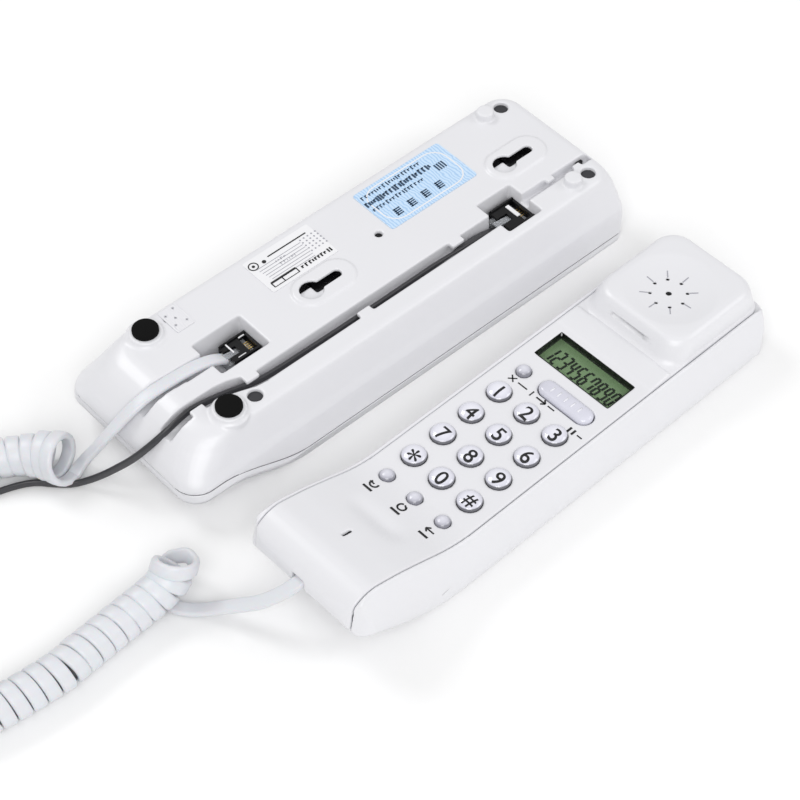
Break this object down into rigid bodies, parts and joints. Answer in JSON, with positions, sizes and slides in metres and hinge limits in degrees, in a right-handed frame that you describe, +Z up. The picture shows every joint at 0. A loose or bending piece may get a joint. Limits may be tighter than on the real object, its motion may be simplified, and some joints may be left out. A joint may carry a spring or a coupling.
{
  "type": "wall telephone",
  "caption": "Slimline corded wall telephone: flat base lying on its front with its back up, and a handset with keypad and display beside it, joined by a curly cord.",
  "frame": {"origin": "bottom centre of the bounding box of the base and the handset, cords left out, on the surface they lie on", "axes": "+Z up, +X along the base from the cord end to the earpiece end, +Y from the handset towards the base"},
  "size_m": [0.3565, 0.1749, 0.0333],
  "materials": {
    "shell": "gloss",
    "foot_rubber": "matt",
    "steel": "satin",
    "label": "satin",
    "black_plastic": "satin",
    "clear_plastic": "clear, gloss",
    "silver_plastic": "silvery gloss",
    "board": "satin",
    "display": "satin",
    "silicone": "satin",
    "white_cord": "satin",
    "grey_cord": "satin"
  },
  "bodies": {
    "base": {"base_rear_cover": "shell", "base_front_housing": "shell", "rubber_foot_left": "foot_rubber", "rubber_foot_right": "foot_rubber", "base_screw_1": "steel", "base_screw_2": "steel", "base_screw_3": "steel", "base_screw_4": "steel", "rating_label": "label", "approval_label": "label", "seal_label": "label", "handset_jack": "black_plastic", "line_jack": "black_plastic", "handset_cord_plug": "clear_plastic", "line_plug": "clear_plastic", "base_board": "board", "ringer_buzzer": "black_plastic", "hook_switch": "black_plastic", "handset_cord_lead": "white_cord", "line_cord": "grey_cord", "line_cord_coil": "grey_cord", "line_end_plug": "clear_plastic"},
    "handset": {"handset_rear_shell": "shell", "handset_front_cover": "shell", "keypad_mat": "silicone", "main_board": "board", "lcd_window": "clear_plastic", "lcd_panel": "display", "receiver_capsule": "black_plastic", "microphone_capsule": "steel", "cord_clamp": "black_plastic", "handset_screw_1": "steel", "handset_screw_2": "steel", "handset_cord_coil": "white_cord", "handset_cord_tail": "white_cord"},
    "hook_plunger_body": {"hook_plunger": "shell"},
    "rocker_body": {"rocker_key": "clear_plastic"},
    "key_1_body": {"key_1": "clear_plastic"},
    "key_2_body": {"key_2": "clear_plastic"},
    "key_3_body": {"key_3": "clear_plastic"},
    "key_4_body": {"key_4": "clear_plastic"},
    "key_5_body": {"key_5": "clear_plastic"},
    "key_6_body": {"key_6": "clear_plastic"},
    "key_7_body": {"key_7": "clear_plastic"},
    "key_8_body": {"key_8": "clear_plastic"},
    "key_9_body": {"key_9": "clear_plastic"},
    "key_star_body": {"key_star": "clear_plastic"},
    "key_0_body": {"key_0": "clear_plastic"},
    "key_hash_body": {"key_hash": "clear_plastic"},
    "flash_key_body": {"flash_key": "silver_plastic"},
    "redial_key_body": {"redial_key": "silver_plastic"},
    "back_key_body": {"back_key": "silver_plastic"},
    "delete_key_body": {"delete_key": "silver_plastic"}
  },
  "joints": [
    {"name": "handset_lift", "type": "slide", "parent": "base", "child": "handset", "axis": [0, 0, 1], "range_m": [0, 0.12]},
    {"name": "hook_plunger_slide", "type": "slide", "parent": "base", "child": "hook_plunger_body", "axis": [0, 0, 1], "range_m": [0, 0.004], "stiffness_N_per_m": 150, "springref_m": -0.002},
    {"name": "rocker_tilt", "type": "hinge", "parent": "handset", "child": "rocker_body", "pos_m": [0.01636, -0.04984, 0.019], "axis": [0.9996, 0.0279, 0], "range_deg": [-4, 4], "stiffness_Nm_per_rad": 0.15},
    {"name": "key_1_press", "type": "slide", "parent": "handset", "child": "key_1_body", "axis": [0, 0, -1], "range_m": [0, 0.0015], "stiffness_N_per_m": 350, "springref_m": -0.001},
    {"name": "key_2_press", "type": "slide", "parent": "handset", "child": "key_2_body", "axis": [0, 0, -1], "range_m": [0, 0.0015], "stiffness_N_per_m": 350, "springref_m": -0.001},
    {"name": "key_3_press", "type": "slide", "parent": "handset", "child": "key_3_body", "axis": [0, 0, -1], "range_m": [0, 0.0015], "stiffness_N_per_m": 350, "springref_m": -0.001},
    {"name": "key_4_press", "type": "slide", "parent": "handset", "child": "key_4_body", "axis": [0, 0, -1], "range_m": [0, 0.0015], "stiffness_N_per_m": 350, "springref_m": -0.001},
    {"name": "key_5_press", "type": "slide", "parent": "handset", "child": "key_5_body", "axis": [0, 0, -1], "range_m": [0, 0.0015], "stiffness_N_per_m": 350, "springref_m": -0.001},
    {"name": "key_6_press", "type": "slide", "parent": "handset", "child": "key_6_body", "axis": [0, 0, -1], "range_m": [0, 0.0015], "stiffness_N_per_m": 350, "springref_m": -0.001},
    {"name": "key_7_press", "type": "slide", "parent": "handset", "child": "key_7_body", "axis": [0, 0, -1], "range_m": [0, 0.0015], "stiffness_N_per_m": 350, "springref_m": -0.001},
    {"name": "key_8_press", "type": "slide", "parent": "handset", "child": "key_8_body", "axis": [0, 0, -1], "range_m": [0, 0.0015], "stiffness_N_per_m": 350, "springref_m": -0.001},
    {"name": "key_9_press", "type": "slide", "parent": "handset", "child": "key_9_body", "axis": [0, 0, -1], "range_m": [0, 0.0015], "stiffness_N_per_m": 350, "springref_m": -0.001},
    {"name": "key_star_press", "type": "slide", "parent": "handset", "child": "key_star_body", "axis": [0, 0, -1], "range_m": [0, 0.0015], "stiffness_N_per_m": 350, "springref_m": -0.001},
    {"name": "key_0_press", "type": "slide", "parent": "handset", "child": "key_0_body", "axis": [0, 0, -1], "range_m": [0, 0.0015], "stiffness_N_per_m": 350, "springref_m": -0.001},
    {"name": "key_hash_press", "type": "slide", "parent": "handset", "child": "key_hash_body", "axis": [0, 0, -1], "range_m": [0, 0.0015], "stiffness_N_per_m": 350, "springref_m": -0.001},
    {"name": "flash_key_press", "type": "slide", "parent": "handset", "child": "flash_key_body", "axis": [0, 0, -1], "range_m": [0, 0.0015], "stiffness_N_per_m": 350, "springref_m": -0.001},
    {"name": "redial_key_press", "type": "slide", "parent": "handset", "child": "redial_key_body", "axis": [0, 0, -1], "range_m": [0, 0.0015], "stiffness_N_per_m": 350, "springref_m": -0.001},
    {"name": "back_key_press", "type": "slide", "parent": "handset", "child": "back_key_body", "axis": [0, 0, -1], "range_m": [0, 0.0015], "stiffness_N_per_m": 350, "springref_m": -0.001},
    {"name": "delete_key_press", "type": "slide", "parent": "handset", "child": "delete_key_body", "axis": [0, 0, -1], "range_m": [0, 0.0015], "stiffness_N_per_m": 350, "springref_m": -0.001}
  ]
}
